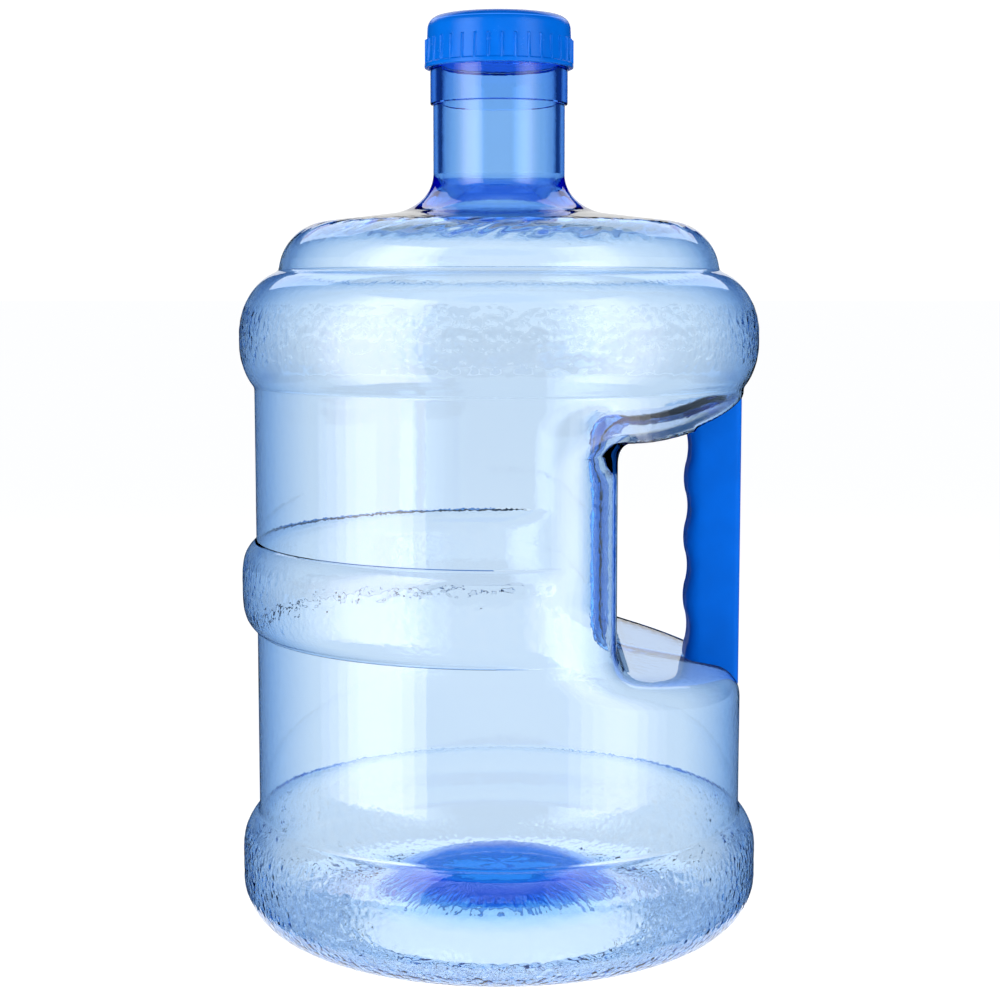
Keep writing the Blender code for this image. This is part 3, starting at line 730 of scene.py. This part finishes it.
def add_bump(nodes, links, shader, source, strength, distance):
    bump = nodes.new("ShaderNodeBump")
    bump.inputs["Strength"].default_value = strength
    bump.inputs["Distance"].default_value = distance
    links.new(source, bump.inputs["Height"])
    links.new(bump.outputs["Normal"], shader.inputs["Normal"])


def math_node(nodes, links, operation, first, second):
    node = nodes.new("ShaderNodeMath")
    node.operation = operation
    for place, value in enumerate((first, second)):
        if isinstance(value, float):
            node.inputs[place].default_value = value
        else:
            links.new(value, node.inputs[place])
    return node.outputs["Value"]


def zone(nodes, links, source, low, high, edge):
    """1 where the source lies between low and high, and 0 outside."""
    up = smooth_step(nodes, links, source, low, low + edge)
    down = smooth_step(nodes, links, source, high - edge, high)
    return math_node(nodes, links, "SUBTRACT", up, down)


def smooth_step(nodes, links, source, low, high):
    spread = nodes.new("ShaderNodeMapRange")
    spread.interpolation_type = "SMOOTHSTEP"
    spread.inputs["From Min"].default_value = low
    spread.inputs["From Max"].default_value = high
    links.new(source, spread.inputs["Value"])
    return spread.outputs["Result"]


BULGE_GRAIN = 0.20
BAND_GRAIN = 0.60


def moulded_grain(nodes, links):
    """Fine pebbles on the base band, the base ring and the bulge, as a height."""
    place = nodes.new("ShaderNodeTexCoord")
    split = nodes.new("ShaderNodeSeparateXYZ")
    links.new(place.outputs["Object"], split.inputs["Vector"])
    flat = nodes.new("ShaderNodeCombineXYZ")
    links.new(split.outputs["X"], flat.inputs["X"])
    links.new(split.outputs["Y"], flat.inputs["Y"])
    reach = nodes.new("ShaderNodeVectorMath")
    reach.operation = "LENGTH"
    links.new(flat.outputs["Vector"], reach.inputs[0])
    stones = nodes.new("ShaderNodeTexVoronoi")
    stones.feature = "SMOOTH_F1"
    stones.inputs["Scale"].default_value = 400.0
    stones.inputs["Smoothness"].default_value = 0.35
    links.new(place.outputs["Object"], stones.inputs["Vector"])
    height = split.outputs["Z"]
    low = zone(nodes, links, height, -0.02, 0.016, 0.008)
    under = math_node(nodes, links, "MULTIPLY", low, smooth_step(nodes, links, reach.outputs["Value"], 0.062, 0.068))
    side = zone(nodes, links, height, 0.008, 0.046, 0.008)
    bulge = zone(nodes, links, height, 0.238, 0.264, 0.006)
    ring = zone(nodes, links, height, 0.131, 0.161, 0.005)
    left = math_node(nodes, links, "SUBTRACT", 1.0, smooth_step(nodes, links, split.outputs["X"], -0.01, 0.03))
    ring = math_node(nodes, links, "MULTIPLY", ring, left)
    upper = math_node(nodes, links, "MULTIPLY", math_node(nodes, links, "ADD", bulge, ring), BULGE_GRAIN)
    away = math_node(nodes, links, "ABSOLUTE", split.outputs["X"], 0.0)
    side = math_node(nodes, links, "MULTIPLY", side, smooth_step(nodes, links, away, 0.030, 0.062))
    sides = math_node(nodes, links, "MULTIPLY", side, BAND_GRAIN)
    where = math_node(nodes, links, "ADD", math_node(nodes, links, "ADD", under, upper), sides)
    return math_node(nodes, links, "MULTIPLY", stones.outputs["Distance"], where)


# The weld bead's colour is painted shade: a darker tint standing in for the dark lines that refraction draws along the
# pocket's corner.
SEAM_SHADE_COLOUR = (0.12, 0.36, 0.68)
BASE_COLOUR = (0.16, 0.58, 0.88)
# The base glow is a painted glow: emission in the base's thick middle, which is no lamp.
PAINTED_BASE_GLOW_COLOUR = (0.0, 0.30, 0.80)
PAINTED_BASE_GLOW = 0.12


def weld_zone(nodes, links):
    """1 on the inside of the weld bead behind the pocket's upright wall, and 0 elsewhere: where painted shade darkens
    the bead.
    """
    place = nodes.new("ShaderNodeTexCoord")
    split = nodes.new("ShaderNodeSeparateXYZ")
    links.new(place.outputs["Object"], split.inputs["Vector"])
    across = math_node(nodes, links, "ABSOLUTE", split.outputs["Y"], 0.0)
    near = math_node(nodes, links, "SUBTRACT", 1.0, smooth_step(nodes, links, across, 0.0034, 0.0042))
    behind = zone(nodes, links, split.outputs["X"], 0.036, 0.0456, 0.0006)
    upright = zone(nodes, links, split.outputs["Z"], 0.110, 0.219, 0.003)
    return math_node(nodes, links, "MULTIPLY", near, math_node(nodes, links, "MULTIPLY", behind, upright))


def base_zone(nodes, links):
    """1 in the thick middle of the base, fading out on its flank."""
    place = nodes.new("ShaderNodeTexCoord")
    split = nodes.new("ShaderNodeSeparateXYZ")
    links.new(place.outputs["Object"], split.inputs["Vector"])
    flat = nodes.new("ShaderNodeVectorMath")
    flat.operation = "MULTIPLY"
    flat.inputs[1].default_value = (1.0, 1.0, 0.0)
    links.new(place.outputs["Object"], flat.inputs[0])
    reach = nodes.new("ShaderNodeVectorMath")
    reach.operation = "LENGTH"
    links.new(flat.outputs["Vector"], reach.inputs[0])
    inner = math_node(nodes, links, "SUBTRACT", 1.0, smooth_step(nodes, links, reach.outputs["Value"], 0.038, 0.060))
    low = math_node(nodes, links, "SUBTRACT", 1.0, smooth_step(nodes, links, split.outputs["Z"], 0.030, 0.034))
    return math_node(nodes, links, "MULTIPLY", inner, low)


def tinted_plastic():
    """Clear blue-tinted wall: the tint is in the thickness, so edges and thick places go deep blue. The edges also
    carry painted shade, the weld bead painted shade and the base's thick middle a painted glow.
    """
    material, nodes, links, shader = new_material("tinted_clear_plastic")
    shader.inputs["Base Color"].default_value = (1.0, 1.0, 1.0, 1.0)
    shader.inputs["Transmission Weight"].default_value = 1.0
    shader.inputs["IOR"].default_value = 1.57
    scuffs = noise_node(nodes, links, 90.0, 6.0, 0.65)
    links.new(map_range(nodes, links, scuffs.outputs["Fac"], 0.0, 0.035, 0.45, 0.8), shader.inputs["Roughness"])
    # Painted edge shade: the base colour goes darker blue towards grazing angles, standing in for the dark edges that
    # dim surroundings give through refraction.
    edge_facing = nodes.new("ShaderNodeLayerWeight")
    edge_facing.inputs["Blend"].default_value = 0.5
    painted_edge_shade = nodes.new("ShaderNodeValToRGB")
    painted_edge_shade.color_ramp.elements[0].position = 0.38
    painted_edge_shade.color_ramp.elements[0].color = (1.0, 1.0, 1.0, 1.0)
    painted_edge_shade.color_ramp.elements[1].position = 1.0
    painted_edge_shade.color_ramp.elements[1].color = (0.22, 0.37, 0.64, 1.0)
    middle = painted_edge_shade.color_ramp.elements.new(0.70)
    middle.color = (0.45, 0.64, 0.89, 1.0)
    links.new(edge_facing.outputs["Facing"], painted_edge_shade.inputs["Fac"])
    # Painted shade on the inside of the weld bead.
    seam_shade = nodes.new("ShaderNodeMix")
    seam_shade.data_type = "RGBA"
    seam_shade.inputs["B"].default_value = (*SEAM_SHADE_COLOUR, 1.0)
    links.new(weld_zone(nodes, links), seam_shade.inputs["Factor"])
    links.new(painted_edge_shade.outputs["Color"], seam_shade.inputs["A"])
    base = nodes.new("ShaderNodeMix")
    base.data_type = "RGBA"
    base.blend_type = "MULTIPLY"
    base.inputs["B"].default_value = (*BASE_COLOUR, 1.0)
    links.new(base_zone(nodes, links), base.inputs["Factor"])
    links.new(seam_shade.outputs["Result"], base.inputs["A"])
    links.new(base.outputs["Result"], shader.inputs["Base Color"])
    # Painted glow in the base's thick middle.
    shader.inputs["Emission Color"].default_value = (*PAINTED_BASE_GLOW_COLOUR, 1.0)
    links.new(math_node(nodes, links, "MULTIPLY", base_zone(nodes, links), PAINTED_BASE_GLOW),
              shader.inputs["Emission Strength"])
    peel = noise_node(nodes, links, 260.0, 2.0)
    soft = nodes.new("ShaderNodeBump")
    soft.inputs["Strength"].default_value = 0.10
    soft.inputs["Distance"].default_value = 0.0002
    links.new(peel.outputs["Fac"], soft.inputs["Height"])
    grain = nodes.new("ShaderNodeBump")
    grain.inputs["Strength"].default_value = 0.7
    grain.inputs["Distance"].default_value = 0.0005
    links.new(moulded_grain(nodes, links), grain.inputs["Height"])
    links.new(soft.outputs["Normal"], grain.inputs["Normal"])
    links.new(grain.outputs["Normal"], shader.inputs["Normal"])
    tint = nodes.new("ShaderNodeVolumeAbsorption")
    tint.inputs["Color"].default_value = (0.0, 0.50, 0.92, 1.0)
    tint.inputs["Density"].default_value = 211.0
    links.new(tint.outputs["Volume"], nodes["Material Output"].inputs["Volume"])
    return material


GLOSS_COLOUR = (0.40, 0.70, 1.0)


def solid_plastic(name, dark, light, roughness, specular, grain_scale):
    """Opaque moulded plastic: faint mottling, a fine grain, and uneven gloss."""
    material, nodes, links, shader = new_material(name)
    mottle = noise_node(nodes, links, 55.0, 4.0)
    blend = nodes.new("ShaderNodeMix")
    blend.data_type = "RGBA"
    blend.inputs["A"].default_value = (*dark, 1.0)
    blend.inputs["B"].default_value = (*light, 1.0)
    links.new(map_range(nodes, links, mottle.outputs["Fac"], 0.0, 1.0), blend.inputs["Factor"])
    links.new(blend.outputs["Result"], shader.inputs["Base Color"])
    wear = noise_node(nodes, links, 140.0, 8.0, 0.7)
    links.new(map_range(nodes, links, wear.outputs["Fac"], roughness - 0.06, roughness + 0.08),
              shader.inputs["Roughness"])
    grain = noise_node(nodes, links, grain_scale, 3.0)
    add_bump(nodes, links, shader, grain.outputs["Fac"], 0.25, 0.00012)
    shader.inputs["Specular IOR Level"].default_value = specular
    shader.inputs["Specular Tint"].default_value = (*GLOSS_COLOUR, 1.0)
    return material


# Colour and strength of the liner's painted glow.
PAINTED_LINER_GLOW_COLOUR = (0.25, 0.50, 0.90)
PAINTED_LINER_GLOW = 0.35


def liner_foam():
    """Foam with fine cells, and a painted glow: emission that stands in for light coming through the cap and the foam.
    """
    material, nodes, links, shader = new_material("liner_foam")
    cells = nodes.new("ShaderNodeTexVoronoi")
    cells.inputs["Scale"].default_value = 1400.0
    place = nodes.new("ShaderNodeTexCoord")
    links.new(place.outputs["Object"], cells.inputs["Vector"])
    blend = nodes.new("ShaderNodeMix")
    blend.data_type = "RGBA"
    blend.inputs["A"].default_value = (0.70, 0.73, 0.76, 1.0)
    blend.inputs["B"].default_value = (0.88, 0.90, 0.92, 1.0)
    links.new(map_range(nodes, links, cells.outputs["Distance"], 0.0, 1.0, 0.0, 0.6), blend.inputs["Factor"])
    links.new(blend.outputs["Result"], shader.inputs["Base Color"])
    shader.inputs["Roughness"].default_value = 0.62
    # Painted glow on the foam, which is no lamp.
    shader.inputs["Emission Color"].default_value = (*PAINTED_LINER_GLOW_COLOUR, 1.0)
    shader.inputs["Emission Strength"].default_value = PAINTED_LINER_GLOW
    add_bump(nodes, links, shader, cells.outputs["Distance"], 0.35, 0.0002)
    return material


# ---------------------------------------------------------------- studio

FLOOR_GREY = 0.14
FLOOR_GLOW = 0.975
STAND_GLOW = 1.25
BASE_DISC_RADIUS = 0.115
WORLD_STRENGTH = 1.15
WORLD_WHITE_UP_TO = 0.15
WORLD_DIM_FROM = 0.27
WORLD_OVERHEAD = (0.05, 0.22, 0.56)
WORLD_BESIDE = (0.05, 0.09, 0.19)
WORLD_BESIDE_FROM = 0.78
WORLD_BEHIND_FROM = 0.94
LAMP_DISTANCE = 0.34
LAMP_HEIGHT = 0.60
LAMP_COLOUR = (1.0, 0.87, 0.78)
STRIP_ANGLE = 5.0
LEFT_EDGE = 28.0
RIGHT_EDGE = 27.0
LEFT_STRIPS = (1.5, 2.6, 3.3, 3.5, 3.5, 3.4, 2.8, 1.8, 1.0, 0.5)
RIGHT_STRIPS = (0.6, 1.3, 1.8, 2.2, 2.3, 2.1, 1.4, 0.7, 0.3)
TOP_PANEL = (1.6, 0.7)
TOP_PANEL_PLACE = (0.0, 0.75, 0.95)
TOP_PANEL_RADIANCE = 1.3
BACK_PANEL = (0.9, 0.5)
BACK_PANEL_PLACE = (0.0, 1.5, 0.48)
BACK_PANEL_RADIANCE = 0.9
FILL_PANEL = (1.2, 1.2)
FILL_PLACE = (0.5, -1.6, 0.9)
FILL_RADIANCE = 2.2
FILL_COLOUR = (0.75, 0.90, 1.0)


def glowing_white(name, glow):
    material, nodes, links, shader = new_material(name)
    shader.inputs["Base Color"].default_value = (FLOOR_GREY, FLOOR_GREY, FLOOR_GREY, 1.0)
    shader.inputs["Roughness"].default_value = 0.9
    shader.inputs["Specular IOR Level"].default_value = 0.0
    shader.inputs["Emission Color"].default_value = (1.0, 1.0, 1.0, 1.0)
    shader.inputs["Emission Strength"].default_value = glow
    return material


def make_stage():
    """A pale floor that is lit from below as well, like a light table."""
    mesh = bpy.data.meshes.new("studio_floor")
    size = 30.0
    mesh.from_pydata([(-size, -size, 0.0), (size, -size, 0.0), (size, size, 0.0), (-size, size, 0.0)],
                     [], [(0, 1, 2, 3)])
    floor = bpy.data.objects.new("studio_floor", mesh)
    bpy.context.scene.collection.objects.link(floor)
    mesh.materials.append(glowing_white("studio_white", FLOOR_GLOW))
    floor.location.z = -0.0002
    floor.visible_glossy = False


def make_stand():
    """A disc under the jug, like the floor, that the jug's own underside may mirror."""
    angles = TAU * np.arange(96) / 96
    mesh = bpy.data.meshes.new("studio_disc")
    ring = np.stack([BASE_DISC_RADIUS * np.cos(angles), BASE_DISC_RADIUS * np.sin(angles), 0.0 * angles], 1)
    mesh.from_pydata(ring.tolist(), [], [list(range(96))])
    disc = bpy.data.objects.new("studio_disc", mesh)
    bpy.context.scene.collection.objects.link(disc)
    mesh.materials.append(glowing_white("studio_stand", STAND_GLOW))
    disc.location.z = -0.0001


def make_world():
    """White low down behind the jug, dim overhead and beside it, so that clear walls show dark edges."""
    world = bpy.data.worlds.new("studio")
    world.use_nodes = True
    nodes = world.node_tree.nodes
    links = world.node_tree.links
    place = nodes.new("ShaderNodeTexCoord")
    split = nodes.new("ShaderNodeSeparateXYZ")
    links.new(place.outputs["Generated"], split.inputs["Vector"])
    ramp_node = nodes.new("ShaderNodeValToRGB")
    ramp_node.color_ramp.interpolation = "EASE"
    stops = ramp_node.color_ramp.elements
    stops[0].position = WORLD_WHITE_UP_TO
    stops[0].color = (1.0, 1.0, 1.0, 1.0)
    stops[1].position = WORLD_DIM_FROM
    stops[1].color = (*WORLD_OVERHEAD, 1.0)
    links.new(split.outputs["Z"], ramp_node.inputs["Fac"])
    sides = nodes.new("ShaderNodeMix")
    sides.data_type = "RGBA"
    sides.inputs["A"].default_value = (*WORLD_BESIDE, 1.0)
    behind = smooth_step(nodes, links, split.outputs["Y"], WORLD_BESIDE_FROM, WORLD_BEHIND_FROM)
    links.new(behind, sides.inputs["Factor"])
    links.new(ramp_node.outputs["Color"], sides.inputs["B"])
    links.new(sides.outputs["Result"], nodes["Background"].inputs["Color"])
    nodes["Background"].inputs["Strength"].default_value = WORLD_STRENGTH
    world.cycles_visibility.glossy = False
    bpy.context.scene.world = world


def strip_lamp(name, azimuth, radiance):
    """One upright strip of a softbox, facing the jug's axis; azimuth is in degrees, right of the camera."""
    lamp = bpy.data.lights.new(name, "AREA")
    lamp.shape = "RECTANGLE"
    lamp.size = LAMP_DISTANCE * math.radians(STRIP_ANGLE)
    lamp.size_y = LAMP_HEIGHT
    lamp.energy = radiance * math.pi * lamp.size * lamp.size_y
    lamp.color = LAMP_COLOUR
    thing = bpy.data.objects.new(name, lamp)
    bpy.context.scene.collection.objects.link(thing)
    turn = math.radians(azimuth)
    thing.location = (LAMP_DISTANCE * math.sin(turn), -LAMP_DISTANCE * math.cos(turn), LAMP_HEIGHT / 2.0 + 0.002)
    thing.rotation_euler = (math.pi / 2.0, 0.0, turn)
    thing.visible_camera = False


def make_lights():
    """Two softboxes, each a row of strips that fades outwards, and a low panel behind."""
    for step, radiance in enumerate(LEFT_STRIPS):
        strip_lamp("left_%d" % step, -LEFT_EDGE - STRIP_ANGLE * (step + 0.5), radiance)
    for step, radiance in enumerate(RIGHT_STRIPS):
        strip_lamp("right_%d" % step, RIGHT_EDGE + STRIP_ANGLE * (step + 0.5), radiance)
    back = panel("back_panel", BACK_PANEL, BACK_PANEL_RADIANCE)
    back.location = BACK_PANEL_PLACE
    back.rotation_euler = (math.pi / 2.0, 0.0, math.pi)
    fill = panel("front_fill", FILL_PANEL, FILL_RADIANCE)
    fill.location = FILL_PLACE
    fill.rotation_euler = (math.radians(65.0), 0.0, math.radians(17.0))
    fill.visible_glossy = False
    fill.data.color = FILL_COLOUR
    top = panel("top_panel", TOP_PANEL, TOP_PANEL_RADIANCE)
    top.location = TOP_PANEL_PLACE
    top.rotation_euler = (-math.atan2(TOP_PANEL_PLACE[1], TOP_PANEL_PLACE[2]), 0.0, 0.0)
    top.visible_transmission = True


def panel(name, size, radiance):
    lamp = bpy.data.lights.new(name, "AREA")
    lamp.shape = "RECTANGLE"
    lamp.size, lamp.size_y = size
    lamp.energy = radiance * math.pi * lamp.size * lamp.size_y
    thing = bpy.data.objects.new(name, lamp)
    bpy.context.scene.collection.objects.link(thing)
    thing.visible_camera = False
    thing.visible_transmission = False
    return thing


def make_camera():
    data = bpy.data.cameras.new("camera")
    data.lens = 70.49
    data.sensor_width = 36.0
    camera = bpy.data.objects.new("camera", data)
    bpy.context.scene.collection.objects.link(camera)
    camera.location = (0.0004, -0.8267, 0.2721)
    camera.rotation_euler = (math.radians(90.0 - 6.33), 0.0, 0.0)
    bpy.context.scene.camera = camera


def set_look():
    scene = bpy.context.scene
    scene.view_settings.view_transform = "Standard"
    scene.view_settings.look = "None"
    scene.cycles.max_bounces = 18
    scene.cycles.transmission_bounces = 18
    scene.cycles.glossy_bounces = 12
    scene.cycles.transparent_max_bounces = 12


HANDLE_DARK = (0.0, 0.112, 0.60)
HANDLE_LIGHT = (0.0, 0.130, 0.69)
CAP_DARK = (0.0, 0.122, 0.60)
CAP_LIGHT = (0.0, 0.144, 0.70)

make_camera()
make_stage()
make_stand()
make_world()
make_lights()
set_look()
make_bottle(tinted_plastic())
make_handle(solid_plastic("handle_plastic", HANDLE_DARK, HANDLE_LIGHT, 0.38, 0.08, 900.0))
make_cap(paint_skirt_glow(solid_plastic("cap_plastic", CAP_DARK, CAP_LIGHT, 0.22, 0.50, 900.0)))
make_liner(liner_foam())
